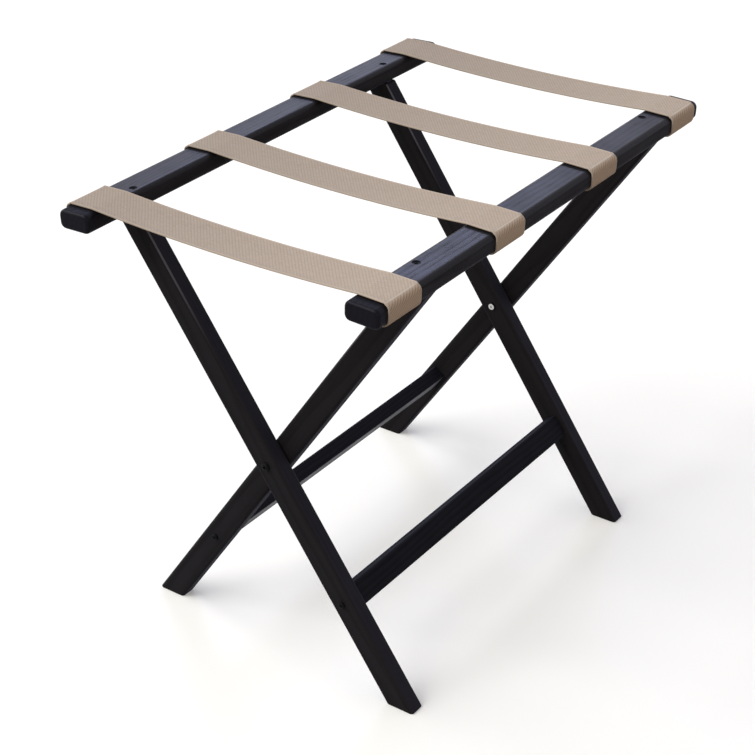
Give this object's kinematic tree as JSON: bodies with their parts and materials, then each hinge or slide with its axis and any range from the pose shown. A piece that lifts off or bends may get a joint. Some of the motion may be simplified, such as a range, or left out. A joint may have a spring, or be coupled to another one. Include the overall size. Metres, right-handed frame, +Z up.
{
  "type": "folding luggage rack",
  "caption": "Black stained wooden luggage rack on crossed frames that fold together at pivots, with webbing straps over its rails to carry a suitcase.",
  "frame": {"origin": "on the floor, under the middle of the open rack", "axes": "+X from the left rail to the right rail, +Y along the rails from front to back, +Z up"},
  "size_m": [0.3818, 0.6, 0.5005],
  "materials": {
    "stained_wood": "satin black stain over open grain",
    "webbing": "tan ribbed webbing",
    "black_steel": "black finish",
    "zinc_nut": "bright zinc plate",
    "washer_nylon": "black nylon",
    "dowel_wood": "plain beech",
    "staple_steel": "galvanised wire"
  },
  "bodies": {
    "left_frame": {"left_rail": "stained_wood", "left_rail_screws": "black_steel", "left_frame_front_leg": "stained_wood", "left_frame_back_leg": "stained_wood", "left_frame_rung": "stained_wood", "left_frame_rung_screws": "black_steel", "left_frame_rung_dowels": "dowel_wood", "front_pivot_bolt": "black_steel", "front_pivot_nut": "zinc_nut", "front_pivot_washer": "washer_nylon", "left_rail_staples": "staple_steel", "front_strap": "webbing", "front_middle_strap": "webbing", "back_middle_strap": "webbing", "back_strap": "webbing"},
    "right_frame": {"right_rail": "stained_wood", "right_rail_screws": "black_steel", "right_frame_back_leg": "stained_wood", "right_frame_front_leg": "stained_wood", "right_frame_rung": "stained_wood", "right_frame_rung_screws": "black_steel", "right_frame_rung_dowels": "dowel_wood", "back_pivot_bolt": "black_steel", "back_pivot_nut": "zinc_nut", "back_pivot_washer": "washer_nylon", "right_rail_staples": "staple_steel"}
  },
  "joints": [
    {"name": "fold", "type": "hinge", "parent": "left_frame", "child": "right_frame", "pos_m": [0, 0, 0.2375], "axis": [0, -1, 0], "range_deg": [0, 58], "deforming": ["front_strap", "front_middle_strap", "back_middle_strap", "back_strap"]}
  ]
}
